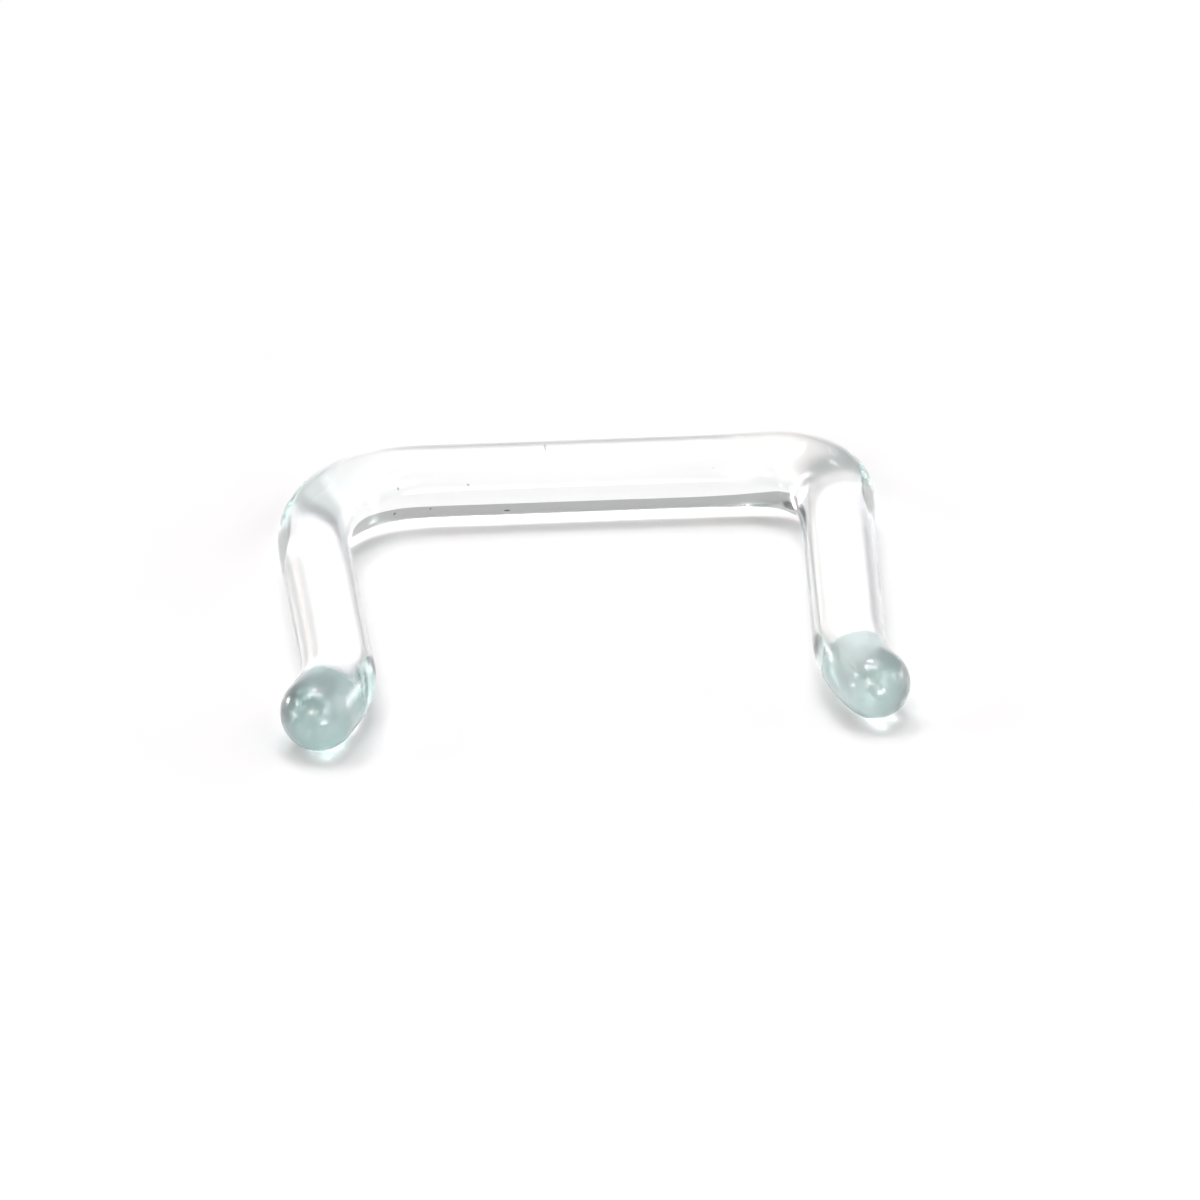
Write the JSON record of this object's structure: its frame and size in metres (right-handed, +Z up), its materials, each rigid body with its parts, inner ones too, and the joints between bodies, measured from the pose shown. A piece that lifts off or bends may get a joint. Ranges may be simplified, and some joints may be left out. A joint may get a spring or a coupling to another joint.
{
  "type": "septum retainer",
  "caption": "Clear glass rod bent to a flat U, with rounded corners and short out-turned, fire-polished tips, worn through a nose septum piercing and turned up out of sight.",
  "frame": {"origin": "middle of the footprint, on the surface the rod lies on", "axes": "+X along the bar, -Y towards the tips of the legs, +Z up out of the surface"},
  "size_m": [0.0134, 0.0106, 0.0016],
  "materials": {
    "clear_glass": "clear, fire-polished, teal where the light's path through it is long"
  },
  "bodies": {
    "root": {"glass_rod": "clear_glass"}
  },
  "joints": []
}
